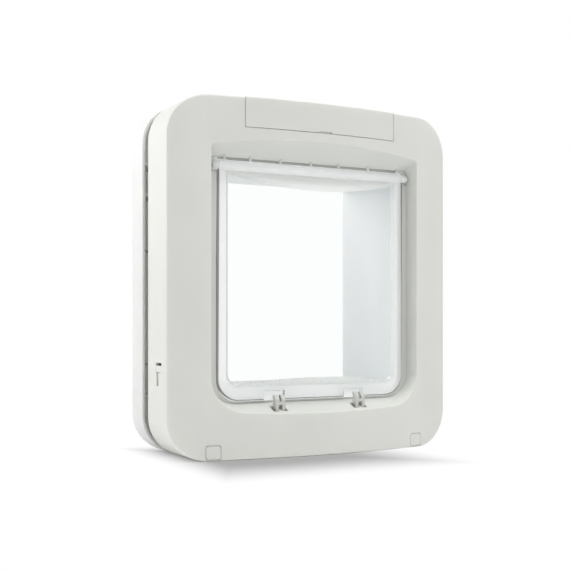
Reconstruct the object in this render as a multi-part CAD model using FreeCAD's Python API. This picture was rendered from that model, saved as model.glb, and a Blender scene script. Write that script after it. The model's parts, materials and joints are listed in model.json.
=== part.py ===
import FreeCAD, Part
import math
import os

Vector = FreeCAD.Vector

# overall sizes of the face, in millimetres
FACE_WIDTH = 262.0
FACE_HEIGHT = 285.0
CORNER_RADIUS = 32.0
CROWN = 17.0
CREASE_RADIUS = 1.2
SKIRT_BACK = 40.0
WALL = 2.6
FIT_GAP = 0.3
HALF_WIDTH = FACE_WIDTH / 2.0
FRONT_REACH = CROWN + 5.0

# funnel that leads from the crowned face down to the flap
SIDE_BORDER = 37.9
TOP_BORDER = 45.9
BOTTOM_BORDER = 43.6
FUNNEL_FRONT = -20.0
FUNNEL_BACK = 4.0
FUNNEL_HALF_WIDTH = HALF_WIDTH - SIDE_BORDER
FUNNEL_TOP = FACE_HEIGHT - TOP_BORDER
FUNNEL_BOTTOM = BOTTOM_BORDER
FUNNEL_SIDE_SLOPE = 0.325
FUNNEL_TOP_SLOPE = 0.68
FUNNEL_BOTTOM_SLOPE = 0.443
FUNNEL_CORNER = 20.0
FUNNEL_CORNER_SLOPE = 0.55
FUNNEL_TOP_CORNER = 3.0
FUNNEL_WALL = 2.2

# hinge line and clear flap
BAR_RADIUS = 4.0
BAR_CLEARANCE = 0.6
COMB_WIDTH = 2.2
COMB_SPREAD = (-0.886, -0.636, -0.318, 0.0, 0.318, 0.636, 0.886)
HINGE_Y = 3.0
HINGE_Z = FUNNEL_TOP - 7.1
PIN_RADIUS = 2.0
PIN_FIT = 0.03
PIN_LENGTH = 4.6
FLAP_SIDE_GAP = 6.1
FLAP_RIM = 7.6
FLAP_SILL = 11.8
FLAP_HALF_WIDTH = FUNNEL_HALF_WIDTH - FLAP_SIDE_GAP
FLAP_BOTTOM = FUNNEL_BOTTOM + 1.6
FLAP_FRONT = 1.0
FLAP_THICKNESS = 4.0
FLAP_BACK = FLAP_FRONT + FLAP_THICKNESS
FLAP_CORNER = 18.0
PANEL_HALF_WIDTH = FLAP_HALF_WIDTH - FLAP_RIM
PANEL_TOP = HINGE_Z - BAR_RADIUS - 1.0
PANEL_BOTTOM = FLAP_BOTTOM + FLAP_SILL
PANEL_BULGE = 9.0
PANEL_WALL = 2.0
PANEL_CORNER = 9.0
PANEL_INSET = 1.5
PANEL_PROUD = 0.3
PANEL_TOP_DROP = 10.5
PANEL_BOTTOM_RISE = 4.6

# tunnel behind the flap
TUNNEL_CLEARANCE = 1.0
SWEEP_CLEARANCE = 2.2
TUNNEL_HALF_WIDTH = FLAP_HALF_WIDTH + TUNNEL_CLEARANCE
TUNNEL_WALL = 2.5
TUNNEL_OUTSIDE = TUNNEL_HALF_WIDTH + TUNNEL_WALL
FLOOR_RISE = 9.3
TUNNEL_FLOOR = FLAP_BOTTOM + FLOOR_RISE
TUNNEL_SWEEP = HINGE_Z - FLAP_BOTTOM + SWEEP_CLEARANCE
CEILING_FRONT = HINGE_Z + BAR_RADIUS + 1.5
CEILING_BACK = HINGE_Z + 0.3
FLANGE_THICKNESS = 2.5
FLANGE_HALF_WIDTH = FUNNEL_HALF_WIDTH + 6.9
FLANGE_BOTTOM = FUNNEL_BOTTOM - 7.1
FLANGE_TOP = FUNNEL_TOP + 8.9
FLANGE_CORNER = 6.0
REBATE_HALF_WIDTH = FUNNEL_HALF_WIDTH + 0.3
REBATE_BOTTOM = FUNNEL_BOTTOM - 0.1
REBATE_TOP = HINGE_Z - 8.0
REBATE_BACK = 9.6
REBATE_WALL = 2.4
BUSH_RADIUS = 3.5
BUSH_LENGTH = 3.9
BUSH_LAND = 5.2

# outer frame on the far side of the door leaf
LEAF_GAP = 13.4
OUTER_DEPTH = 43.6
OUTER_FRONT = SKIRT_BACK + LEAF_GAP
OUTER_BACK = OUTER_FRONT + OUTER_DEPTH
OUTER_ROUND = 24.0
COLLAR_WALL = 4.2
COLLAR_CORNER = 7.0
COLLAR_FRONT = OUTER_FRONT + 2.6
COLLAR_BACK = OUTER_BACK + 3.2
TUNNEL_BACK = COLLAR_BACK + 0.8
RIB_THICKNESS = 1.6
SIDE_RIB_SHARES = (0.166, 0.252, 0.407, 0.589, 0.744, 0.832)
TOP_RIB_INSET = 17.0
TOP_RIB_X = TUNNEL_HALF_WIDTH - TOP_RIB_INSET

# spigot of the rear housing that enters the cut-out in the door leaf
SPIGOT_BORDER = 20.0
SPIGOT_END_BORDER = 26.0
SPIGOT_LENGTH = 6.0
SPIGOT_WALL = 2.4
SPIGOT_CORNER = 12.0
HOUSING_FRONT = SKIRT_BACK - WALL

# fixing screws, their caps and bosses
SCREW_X = HALF_WIDTH - 35.7
SCREW_Z = 7.5
SCREW_RADIUS = 2.4
SCREW_BORE = SCREW_RADIUS + 0.1
SCREW_HEAD_RADIUS = 4.2
SCREW_HEAD = 3.5
CROSS_REACH = 3.0
CROSS_HALF = 0.5
CROSS_DEPTH = 1.5
SCREW_END = OUTER_FRONT + 24.6
BOSS_RADIUS = 4.8
FRAME_BOSS_RADIUS = BOSS_RADIUS + 0.6
BOSS_END = SCREW_END + 8.0
BOTTOM_BOSS_FRONT = 2.0
TOP_BOSS_FRONT = 14.0
CAP_HALF_WIDTH = 6.1
CAP_BOTTOM = 0.9
CAP_TOP = 12.0
CAP_CORNER = 1.6

# small screws that hold the rear housing to the cover
HOUSING_SCREW_INSET = 13.0
HOUSING_SCREW_END = 40.0
HOUSING_BOSS_RADIUS = 3.6
HOUSING_BORE = 1.5
HOUSING_SHANK = 1.4
HOUSING_HEAD_RADIUS = 2.9
HOUSING_HEAD = 1.6
HOUSING_SCREW_LENGTH = 18.0

# battery compartment
CELL_RADIUS = 7.25
CELL_LENGTH = 50.5
CELL_NUB = 1.2
CELL_NUB_RADIUS = 2.7
CELL_DROP = 13.8
CELL_Z = FACE_HEIGHT - CELL_DROP
CELL_ROWS = (0.0, 16.0)
TRAY_WALL = 1.2
TRAY_HALF_WIDTH = CELL_LENGTH + 3.5
TRAY_FRONT = CELL_ROWS[0] - CELL_RADIUS - 1.35
TRAY_BACK = CELL_ROWS[1] + CELL_RADIUS + 1.35
TRAY_BOTTOM = CELL_Z - CELL_RADIUS - 1.35
TRAY_TOP = CELL_Z + 2.8
CONTACT_THICKNESS = 0.9
CONTACT_HALF = 4.5
COVER_HALF_WIDTH = TRAY_HALF_WIDTH + 16.0
COVER_BOTTOM = FACE_HEIGHT - 24.0
COVER_BACK = TRAY_BACK + 3.4
SEAM = 0.4
NOTCH_HALF_WIDTH = 6.0
NOTCH_DEPTH = 1.2
NOTCH_HEIGHT = 1.6
TOP_SCREW_X = TRAY_HALF_WIDTH + 8.0
TOP_SCREW_Z = FACE_HEIGHT - 8.0

# learn button beside the tray, with its switch and the board below
BUTTON_X = TRAY_HALF_WIDTH + 8.5
BUTTON_Z = TRAY_BOTTOM + 3.7
BUTTON_RADIUS = 2.5
BUTTON_FIT = 0.3
BUTTON_RIM = 3.3
BUTTON_FRONT = -7.4
BUTTON_BACK = -0.9
EAR_FRONT = -5.0
EAR_THICKNESS = 1.8
EAR_END = TRAY_HALF_WIDTH + 14.0
SHELF_BACK = 6.0
SWITCH_HALF = 3.5
SWITCH_FRONT = 0.6
SWITCH_DEPTH = 4.0
BOARD_HALF_WIDTH = 50.0
BOARD_FRONT = 9.0
BOARD_THICKNESS = 1.6
BOARD_Z = COVER_BOTTOM - 9.0
LEDGE_X = BOARD_HALF_WIDTH - 4.0
LEDGE_HALF = 2.0
LEDGE_DEPTH = 2.5
TRAY_PERCH = 3.0
CHIP_LEFT = (-30.0, -8.0, 14.0, 32.0)
CHIP_BACK = (3.0, 5.0, 3.0, 13.0)
CHIP_WIDTH = (12.0, 9.0, 16.0, 7.0)
CHIP_DEPTH = (12.0, 9.0, 8.0, 7.0)
CHIP_HEIGHT = (2.0, 1.6, 2.6, 4.0)

# latches in the lower lip and their solenoids
LATCH_X = 0.432 * FLAP_HALF_WIDTH
LATCH_HALF_WIDTH = 5.8
LATCH_FRONT = -10.5
LATCH_BACK = -5.0
LATCH_MIDDLE = (LATCH_FRONT + LATCH_BACK) / 2.0
LATCH_TOP = FLAP_BOTTOM + 4.4
CLAW_FOOT = FUNNEL_BOTTOM - 1.9
CLAW_GAP_HALF = 1.5
LEG_WIDTH = 3.2
LEG_OFFSET = 4.0
LEG_CLEARANCE = 0.8
NOTCH_CLEAR = 3.0
NOTCH_TOP = LATCH_TOP + 2.4
YOKE_BOTTOM = FUNNEL_BOTTOM - 18.1
YOKE_HEIGHT = 4.0
SOLENOID_TOP = YOKE_BOTTOM - 1.0
SOLENOID_HALF_WIDTH = 9.0
SOLENOID_REACH = 4.2
SOLENOID_DEPTH = 17.0
SOLENOID_FRONT = LATCH_MIDDLE - SOLENOID_REACH
SOLENOID_BACK = SOLENOID_FRONT + SOLENOID_DEPTH
PLUNGER_RADIUS = 2.5
PLUNGER_FIT = 0.06
PLUNGER_BOTTOM = 10.0

# reader coil round the tunnel
COIL_FRONT = 12.0
COIL_BACK = 24.0
COIL_WALL = 3.0
COIL_CORNER = 6.0

# small moulded snap on each side of the skirt
SNAP_FRONT = 13.0
SNAP_BACK = 23.0
SNAP_BOTTOM = 0.242 * FACE_HEIGHT
SNAP_TOP = SNAP_BOTTOM + 5.0
SNAP_SLOT = 1.8
SNAP_SLIT = 4.4
SNAP_SLIT_LENGTH = 11.0
TONGUE_WALL = 1.8


def box(x0, x1, y0, y1, z0, z1):
    return Part.makeBox(x1 - x0, y1 - y0, z1 - z0, Vector(x0, y0, z0))


def rod_y(x, z, radius, y0, y1):
    return Part.makeCylinder(radius, y1 - y0, Vector(x, y0, z), Vector(0, 1, 0))


def rod_x(y, z, radius, x0, x1):
    return Part.makeCylinder(radius, x1 - x0, Vector(x0, y, z), Vector(1, 0, 0))


def rod_z(x, y, radius, z0, z1):
    return Part.makeCylinder(radius, z1 - z0, Vector(x, y, z0), Vector(0, 0, 1))


def corner_arc(cx, cz, radius, y, start):
    points = []
    for turn in (0.0, 45.0, 90.0):
        angle = math.radians(start + turn)
        points.append(Vector(cx + radius * math.cos(angle), y, cz + radius * math.sin(angle)))
    return points


def frame_wire(half_width, bottom, top, bottom_radius, top_radius, y):
    """Closed outline in the plane of the face with rounded corners."""
    corners = [
        corner_arc(half_width - top_radius, top - top_radius, top_radius, y, 0.0),
        corner_arc(top_radius - half_width, top - top_radius, top_radius, y, 90.0),
        corner_arc(bottom_radius - half_width, bottom + bottom_radius, bottom_radius, y, 180.0),
        corner_arc(half_width - bottom_radius, bottom + bottom_radius, bottom_radius, y, 270.0),
    ]
    edges = []
    for index, points in enumerate(corners):
        following = corners[(index + 1) % len(corners)]
        edges.append(Part.Arc(*points).toShape())
        edges.append(Part.makeLine(points[2], following[0]))
    return Part.Wire(edges)


def plate(half_width, bottom, top, radius, y0, y1):
    wire = frame_wire(half_width, bottom, top, radius, radius, y0)
    return Part.Face(wire).extrude(Vector(0, y1 - y0, 0))


def extrude_x(points, x0, x1):
    corners = [Vector(x0, y, z) for y, z in points]
    wire = Part.makePolygon(corners + [corners[0]])
    return Part.Face(wire).extrude(Vector(x1 - x0, 0, 0))


def crown_radius():
    return (HALF_WIDTH * HALF_WIDTH + CROWN * CROWN) / (2.0 * CROWN)


def crown_body(inset):
    radius = crown_radius()
    centre = Vector(0, radius - CROWN, -40.0)
    return Part.makeCylinder(radius - inset, FACE_HEIGHT + 80.0, centre, Vector(0, 0, 1))


def crown_y(x):
    radius = crown_radius()
    return radius - CROWN - math.sqrt(radius * radius - x * x)


def cover_body(inset):
    """Rounded block under the crowned face, shrunk by the inset on every side but the back."""
    half = HALF_WIDTH - inset
    block = plate(half, inset, FACE_HEIGHT - inset, CORNER_RADIUS - inset, -FRONT_REACH, SKIRT_BACK)
    return block.common(crown_body(inset))


def soft_cover_body():
    body = cover_body(0.0)
    radius = crown_radius()
    edges = []
    for edge in body.Edges:
        middle = edge.valueAt((edge.FirstParameter + edge.LastParameter) / 2.0)
        reach = math.hypot(middle.x, middle.y - radius + CROWN)
        if abs(reach - radius) < 0.01 and middle.y > -CROWN - 0.1 and middle.y < 1.0:
            edges.append(edge)
    return body.makeFillet(CREASE_RADIUS, edges)


def funnel_wire(y, extra):
    run = FUNNEL_BACK - y
    return frame_wire(
        FUNNEL_HALF_WIDTH + FUNNEL_SIDE_SLOPE * run + extra,
        FUNNEL_BOTTOM - FUNNEL_BOTTOM_SLOPE * run - extra,
        FUNNEL_TOP + FUNNEL_TOP_SLOPE * run + extra,
        FUNNEL_CORNER + FUNNEL_CORNER_SLOPE * run + extra,
        FUNNEL_TOP_CORNER + extra,
        y,
    )


def funnel_body(extra, back):
    return Part.makeLoft([funnel_wire(FUNNEL_FRONT, extra), funnel_wire(back, extra)], True, True)


def latch_slots():
    slots = []
    for side in (-1.0, 1.0):
        for offset in (-LEG_OFFSET, LEG_OFFSET):
            middle = side * LATCH_X + offset
            half = LEG_WIDTH / 2.0 + LEG_CLEARANCE
            slots.append(box(
                middle - half, middle + half, LATCH_FRONT - LEG_CLEARANCE, LATCH_BACK + LEG_CLEARANCE,
                YOKE_BOTTOM + YOKE_HEIGHT, FLAP_BOTTOM + 2.0))
    return slots


def cover_opening(gap):
    half = COVER_HALF_WIDTH - gap
    return box(-half, half, -FRONT_REACH, COVER_BACK - gap, COVER_BOTTOM + gap, FACE_HEIGHT + 5.0)


def cap_opening(side, gap):
    half = CAP_HALF_WIDTH - gap
    middle = side * SCREW_X
    block = plate(half, CAP_BOTTOM + gap, CAP_TOP - gap, CAP_CORNER, -FRONT_REACH, FUNNEL_BACK)
    block.translate(Vector(middle, 0, 0))
    return block.cut(crown_body(WALL))


def hinge_comb():
    ribs = []
    half = COMB_WIDTH / 2.0
    for share in COMB_SPREAD:
        place = share * FLAP_HALF_WIDTH
        ribs.append(box(
            place - half, place + half, FUNNEL_BACK - 2.5, FUNNEL_BACK,
            HINGE_Z + BAR_RADIUS + BAR_CLEARANCE, FUNNEL_TOP + FUNNEL_WALL - 0.7))
    return ribs


def snap_windows():
    windows = []
    for side in (-1.0, 1.0):
        near = side * (HALF_WIDTH - WALL - 1.0)
        far = side * (HALF_WIDTH + 1.0)
        x0 = min(near, far)
        x1 = max(near, far)
        slit_front = (SNAP_FRONT + SNAP_BACK - SNAP_SLIT) / 2.0 + 1.5
        slit_back = slit_front + SNAP_SLIT
        windows.append(box(x0, x1, SNAP_FRONT - 2.0, SNAP_BACK - 0.5, SNAP_TOP, SNAP_TOP + SNAP_SLOT + FIT_GAP))
        windows.append(box(
            x0, x1, SNAP_FRONT - FIT_GAP, SNAP_BACK + FIT_GAP, SNAP_BOTTOM - FIT_GAP, SNAP_TOP + FIT_GAP))
        windows.append(box(x0, x1, slit_front, slit_back, SNAP_BOTTOM - SNAP_SLIT_LENGTH, SNAP_BOTTOM))
    return windows


def housing_screw_places():
    """Six places, three up each side."""
    x = HALF_WIDTH - HOUSING_SCREW_INSET
    heights = (HOUSING_SCREW_END, FACE_HEIGHT / 2.0 + 7.5, FACE_HEIGHT - HOUSING_SCREW_END - 5.0)
    return [(side * x, z) for z in heights for side in (-1.0, 1.0)]


def screw_places():
    """Each long fixing screw: across, up, and where its boss starts."""
    places = []
    for side in (-1.0, 1.0):
        places.append((side * SCREW_X, SCREW_Z, BOTTOM_BOSS_FRONT))
        places.append((side * TOP_SCREW_X, TOP_SCREW_Z, TOP_BOSS_FRONT))
    return places


def make_front_cover():
    outer = soft_cover_body()
    inner = cover_body(WALL)
    inner = inner.fuse(plate(
        HALF_WIDTH - WALL, WALL, FACE_HEIGHT - WALL, CORNER_RADIUS - WALL,
        SKIRT_BACK - 1.0, SKIRT_BACK + 1.0))
    shell = outer.cut(inner)
    funnel = funnel_body(FUNNEL_WALL, FUNNEL_BACK).common(outer)
    shell = shell.fuse([funnel])
    for x, z in housing_screw_places():
        shell = shell.fuse(rod_y(x, z, HOUSING_BOSS_RADIUS, crown_y(x) + WALL / 2.0, HOUSING_FRONT))
    shell = shell.cut(funnel_body(0.0, FUNNEL_BACK + 0.001))
    shell = shell.fuse(hinge_comb())
    cuts = latch_slots() + snap_windows()
    cuts += [cover_opening(0.0), cap_opening(-1.0, 0.0), cap_opening(1.0, 0.0)]
    for x, z in housing_screw_places():
        cuts.append(rod_y(x, z, HOUSING_BORE, SKIRT_BACK - HOUSING_SCREW_LENGTH - 2.0, SKIRT_BACK))
    return shell.cut(cuts).removeSplitter()


def make_battery_cover():
    body = cover_body(0.0).cut(cover_body(WALL))
    body = body.common(cover_opening(SEAM))
    notch = box(
        -NOTCH_HALF_WIDTH, NOTCH_HALF_WIDTH, -FRONT_REACH, -CROWN + NOTCH_DEPTH,
        COVER_BOTTOM - 1.0, COVER_BOTTOM + NOTCH_HEIGHT)
    return body.cut(notch)


def make_screw_cap(side):
    return cover_body(0.0).common(cap_opening(side, FIT_GAP))


def tunnel_profile(extra, front, back):
    """Side outline: flat rear floor, then an arc struck from the hinge line."""
    reach = TUNNEL_SWEEP + extra
    floor = TUNNEL_FLOOR - extra
    slope = (CEILING_BACK - CEILING_FRONT) / (TUNNEL_BACK - FUNNEL_BACK)
    arc_end = HINGE_Y + math.sqrt(reach * reach - (HINGE_Z - floor) ** 2)
    middle = (front + arc_end) / 2.0
    ceiling_front = CEILING_FRONT + extra + slope * (front - FUNNEL_BACK)
    ceiling_back = CEILING_FRONT + extra + slope * (back - FUNNEL_BACK)

    def on_arc(y):
        return HINGE_Z - math.sqrt(reach * reach - (y - HINGE_Y) ** 2)

    def point(y, z):
        return Vector(0, y, z)

    edges = [
        Part.makeLine(point(front, ceiling_front), point(back, ceiling_back)),
        Part.makeLine(point(back, ceiling_back), point(back, floor)),
        Part.makeLine(point(back, floor), point(arc_end, floor)),
        Part.Arc(point(arc_end, floor), point(middle, on_arc(middle)), point(front, on_arc(front))).toShape(),
        Part.makeLine(point(front, on_arc(front)), point(front, ceiling_front)),
    ]
    return Part.Face(Part.Wire(edges))


def tunnel_block(extra, half_width, front, back):
    face = tunnel_profile(extra, front, back)
    face.translate(Vector(-half_width, 0, 0))
    return face.extrude(Vector(2.0 * half_width, 0, 0))


def bush_seat(side):
    x0 = TUNNEL_HALF_WIDTH
    x1 = TUNNEL_HALF_WIDTH + BUSH_LENGTH
    if side < 0:
        x0, x1 = -x1, -x0
    return box(x0, x1, HINGE_Y, FUNNEL_BACK + 0.5, HINGE_Z - BUSH_LAND, HINGE_Z + BUSH_LAND)


def bush_rod(side, radius):
    near = TUNNEL_HALF_WIDTH - 0.4
    far = TUNNEL_HALF_WIDTH + BUSH_LENGTH
    if side < 0:
        return rod_x(HINGE_Y, HINGE_Z, radius, -far, -near)
    return rod_x(HINGE_Y, HINGE_Z, radius, near, far)


def make_tunnel():
    front = FUNNEL_BACK
    body = tunnel_block(TUNNEL_WALL, TUNNEL_OUTSIDE, front, TUNNEL_BACK)
    flange = plate(
        FLANGE_HALF_WIDTH, FLANGE_BOTTOM, FLANGE_TOP, FLANGE_CORNER, front, front + FLANGE_THICKNESS)
    cup = plate(
        REBATE_HALF_WIDTH + REBATE_WALL, REBATE_BOTTOM - REBATE_WALL, REBATE_TOP + REBATE_WALL,
        FLANGE_CORNER, front, REBATE_BACK + REBATE_WALL)
    body = body.fuse([flange, cup])
    rebate = plate(REBATE_HALF_WIDTH, REBATE_BOTTOM, REBATE_TOP, FLAP_CORNER, front - 1.0, REBATE_BACK)
    body = body.cut(rebate).fuse([bush_seat(-1.0), bush_seat(1.0)])
    body = body.cut(tunnel_block(0.0, TUNNEL_HALF_WIDTH, front - 3.0, TUNNEL_BACK + 3.0))
    half = FLAP_HALF_WIDTH - BAR_RADIUS
    slot = box(-half, half, front - 1.0, front + FLANGE_THICKNESS, CEILING_FRONT - 1.0, FUNNEL_TOP + 1.0)
    body = body.cut(slot).removeSplitter()
    return body.cut([bush_rod(-1.0, BUSH_RADIUS), bush_rod(1.0, BUSH_RADIUS)])


def make_bush(side):
    bore = rod_x(HINGE_Y, HINGE_Z, PIN_RADIUS + PIN_FIT, -HALF_WIDTH, HALF_WIDTH)
    return bush_rod(side, BUSH_RADIUS).cut(bore)


def panel_region(half_width, bulge, back, bottom, top):
    """Block behind a cylinder whose axis stands upright, bulging towards the viewer."""
    left = Vector(-half_width, FLAP_FRONT, bottom)
    crest = Vector(0, FLAP_FRONT - bulge, bottom)
    right = Vector(half_width, FLAP_FRONT, bottom)
    arc = Part.Arc(left, crest, right).toShape()
    corner_right = Vector(half_width, back, bottom)
    corner_left = Vector(-half_width, back, bottom)
    edges = [
        arc,
        Part.makeLine(right, corner_right),
        Part.makeLine(corner_right, corner_left),
        Part.makeLine(corner_left, left),
    ]
    return Part.Face(Part.Wire(edges)).extrude(Vector(0, 0, top - bottom))


def panel_window(inset, front, back):
    """Block with the panel's outline, rounded at its two lower corners."""
    wire = frame_wire(
        PANEL_HALF_WIDTH - inset, PANEL_BOTTOM + inset, PANEL_TOP - inset, PANEL_CORNER - inset, 0.5, front)
    return Part.Face(wire).extrude(Vector(0, back - front, 0))


def panel_slopes(top, bottom):
    """Wedges that slice the bulge off along the upper and lower facets."""
    front = FLAP_FRONT - PANEL_BULGE - 8.0
    depth = FLAP_FRONT - front
    upper = PANEL_TOP_DROP * depth / PANEL_BULGE
    lower = PANEL_BOTTOM_RISE * depth / PANEL_BULGE
    over = [(FLAP_FRONT, top), (front, top - upper), (front, top + 10.0), (FLAP_FRONT, top + 10.0)]
    low = bottom - 10.0
    under = [(FLAP_FRONT, bottom), (front, bottom + lower), (front, low), (FLAP_FRONT, low)]
    return [extrude_x(over, -HALF_WIDTH, HALF_WIDTH), extrude_x(under, -HALF_WIDTH, HALF_WIDTH)]


def panel_bulge(inset, back):
    """The bulge, a hair proud of the rim all round its outline."""
    top = PANEL_TOP - inset + PANEL_PROUD
    bottom = PANEL_BOTTOM + inset - PANEL_PROUD / 2.0
    block = panel_region(PANEL_HALF_WIDTH - inset + 1.0, PANEL_BULGE, back, bottom - 3.0, top + 3.0)
    block = block.cut(panel_slopes(top, bottom))
    return block.common(panel_window(inset, FLAP_FRONT - PANEL_BULGE - 1.0, back + 1.0))


def make_flap():
    back = FLAP_BACK
    wire = frame_wire(FLAP_HALF_WIDTH, FLAP_BOTTOM, HINGE_Z, FLAP_CORNER, 0.5, FLAP_FRONT)
    rim = Part.Face(wire).extrude(Vector(0, FLAP_THICKNESS, 0))
    bulge = panel_bulge(0.0, back - 1.5)
    hollow = panel_bulge(PANEL_INSET, back + 1.0)
    hollow.translate(Vector(0, PANEL_WALL, 0))
    bar = rod_x(HINGE_Y, HINGE_Z, BAR_RADIUS, -FLAP_HALF_WIDTH, FLAP_HALF_WIDTH)
    reach = FLAP_HALF_WIDTH + PIN_LENGTH
    pins = rod_x(HINGE_Y, HINGE_Z, PIN_RADIUS, -reach, reach)
    body = rim.fuse([bulge]).cut([hollow]).fuse([bar, pins])
    notches = []
    for side in (-1.0, 1.0):
        middle = side * LATCH_X
        half = LATCH_HALF_WIDTH + NOTCH_CLEAR
        notches.append(box(
            middle - half, middle + half, FLAP_FRONT - 1.0, back + 1.0, FLAP_BOTTOM - 1.0, NOTCH_TOP))
    return body.cut(notches).removeSplitter()


def make_latch(side):
    middle = side * LATCH_X
    neck = LATCH_BACK - 2.0
    claw_points = [
        (LATCH_FRONT, CLAW_FOOT), (LATCH_FRONT, LATCH_TOP - 4.0), (LATCH_FRONT + 2.8, LATCH_TOP),
        (LATCH_BACK, LATCH_TOP), (LATCH_BACK, LATCH_TOP - 3.0), (neck, LATCH_TOP - 4.6),
        (neck, CLAW_FOOT + 0.9), (LATCH_BACK, CLAW_FOOT + 0.9), (LATCH_BACK, CLAW_FOOT),
    ]
    claw = extrude_x(claw_points, middle - LATCH_HALF_WIDTH, middle + LATCH_HALF_WIDTH)
    gap = box(
        middle - CLAW_GAP_HALF, middle + CLAW_GAP_HALF, LATCH_FRONT - 1.0, LATCH_BACK + 1.0,
        CLAW_FOOT + 2.5, LATCH_TOP + 1.0)
    claw = claw.cut(gap)
    parts = []
    for offset in (-LEG_OFFSET, LEG_OFFSET):
        leg = middle + offset
        half = LEG_WIDTH / 2.0
        parts.append(box(leg - half, leg + half, LATCH_FRONT, LATCH_BACK, YOKE_BOTTOM, CLAW_FOOT + 1.3))
    half = LEG_OFFSET + LEG_WIDTH / 2.0
    parts.append(box(
        middle - half, middle + half, LATCH_FRONT + 1.0, LATCH_BACK - 1.0,
        YOKE_BOTTOM, YOKE_BOTTOM + YOKE_HEIGHT))
    parts.append(rod_z(middle, LATCH_MIDDLE, PLUNGER_RADIUS, PLUNGER_BOTTOM, YOKE_BOTTOM + 0.5))
    return claw.fuse(parts).removeSplitter()


def make_solenoid(side):
    middle = side * LATCH_X
    case = box(
        middle - SOLENOID_HALF_WIDTH, middle + SOLENOID_HALF_WIDTH, SOLENOID_FRONT, SOLENOID_BACK,
        WALL, SOLENOID_TOP)
    bore = rod_z(middle, LATCH_MIDDLE, PLUNGER_RADIUS + PLUNGER_FIT, PLUNGER_BOTTOM - 4.0, SOLENOID_TOP + 1.0)
    window_half = SOLENOID_HALF_WIDTH - 2.5
    window = box(
        middle - window_half, middle + window_half, LATCH_MIDDLE + 4.5, SOLENOID_BACK + 1.0,
        PLUNGER_BOTTOM - 3.0, SOLENOID_TOP - 4.0)
    return case.cut([bore, window])


def screw(x, z, front, end):
    head = rod_y(x, z, SCREW_HEAD_RADIUS, front - SCREW_HEAD, front)
    shank = rod_y(x, z, SCREW_RADIUS, front - 1.0, end)
    y0 = front - SCREW_HEAD - 1.0
    y1 = front - SCREW_HEAD + CROSS_DEPTH
    flat = box(x - CROSS_REACH, x + CROSS_REACH, y0, y1, z - CROSS_HALF, z + CROSS_HALF)
    upright = box(x - CROSS_HALF, x + CROSS_HALF, y0, y1, z - CROSS_REACH, z + CROSS_REACH)
    return head.fuse(shank).cut([flat, upright])


def make_fixing_screws(x, z, front):
    return Part.makeCompound([screw(-x, z, front, SCREW_END), screw(x, z, front, SCREW_END)])


def make_housing_screws():
    screws = []
    for x, z in housing_screw_places():
        head = rod_y(x, z, HOUSING_HEAD_RADIUS, SKIRT_BACK, SKIRT_BACK + HOUSING_HEAD)
        shank = rod_y(x, z, HOUSING_SHANK, SKIRT_BACK - HOUSING_SCREW_LENGTH, SKIRT_BACK + 0.5)
        screws.append(head.fuse(shank))
    return Part.makeCompound(screws)


def snap_tongues():
    parts = []
    for side in (-1.0, 1.0):
        inner = HALF_WIDTH - WALL - FIT_GAP
        places = [
            (inner - TONGUE_WALL, inner, SNAP_FRONT - 2.5, HOUSING_FRONT, SNAP_BOTTOM - 13.0, SNAP_TOP),
            (inner - 0.5, HALF_WIDTH - 0.1, SNAP_FRONT, SNAP_BACK, SNAP_BOTTOM, SNAP_TOP),
        ]
        for x0, x1, y0, y1, z0, z1 in places:
            if side < 0:
                x0, x1 = -x1, -x0
            parts.append(box(x0, x1, y0, y1, z0, z1))
    return parts


def spigot():
    """Ring that enters the cut-out in the door leaf."""
    front = HOUSING_FRONT
    back = SKIRT_BACK + SPIGOT_LENGTH
    half = HALF_WIDTH - SPIGOT_BORDER
    low = SPIGOT_END_BORDER
    high = FACE_HEIGHT - SPIGOT_END_BORDER
    ring = plate(half, low, high, SPIGOT_CORNER, front, back)
    return ring.cut(plate(
        half - SPIGOT_WALL, low + SPIGOT_WALL, high - SPIGOT_WALL, SPIGOT_CORNER - SPIGOT_WALL,
        front - 1.0, back + 1.0))


def make_rear_housing():
    front = HOUSING_FRONT
    inset = WALL + FIT_GAP
    body = plate(HALF_WIDTH - inset, inset, FACE_HEIGHT - inset, CORNER_RADIUS - inset, front, SKIRT_BACK)
    parts = [spigot()] + snap_tongues()
    for x, z, boss_front in screw_places():
        parts.append(rod_y(x, z, BOSS_RADIUS, boss_front, front + 1.0))
    for x in (-LEDGE_X, LEDGE_X):
        parts.append(box(
            x - LEDGE_HALF, x + LEDGE_HALF, BOARD_FRONT + 3.0, front + 1.0, BOARD_Z - LEDGE_DEPTH, BOARD_Z))
    perch = TRAY_BOTTOM + TRAY_PERCH / 2.0
    parts.append(box(-BOARD_HALF_WIDTH, BOARD_HALF_WIDTH, TRAY_BACK, front + 1.0, perch, perch + TRAY_PERCH))
    body = body.fuse(parts)
    half = TUNNEL_OUTSIDE + FIT_GAP
    cuts = [tunnel_block(TUNNEL_WALL + FIT_GAP, half, front - 1.0, SKIRT_BACK + SPIGOT_LENGTH + 1.0)]
    for x, z, boss_front in screw_places():
        cuts.append(rod_y(x, z, SCREW_BORE, boss_front - 1.0, SKIRT_BACK + 1.0))
    for x, z in housing_screw_places():
        cuts.append(rod_y(x, z, HOUSING_BORE, front - 1.0, SKIRT_BACK + 1.0))
    return body.cut(cuts).removeSplitter()


def rounded_back_block(inset):
    """Outer frame envelope with its large round along the back edge."""
    half = HALF_WIDTH - inset
    block = plate(half, inset, FACE_HEIGHT - inset, CORNER_RADIUS - inset, OUTER_FRONT, OUTER_BACK - inset)
    edges = []
    for edge in block.Edges:
        box_of = edge.BoundBox
        if box_of.YMin > OUTER_BACK - inset - 0.01:
            edges.append(edge)
    return block.makeFillet(OUTER_ROUND - inset, edges)


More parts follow.
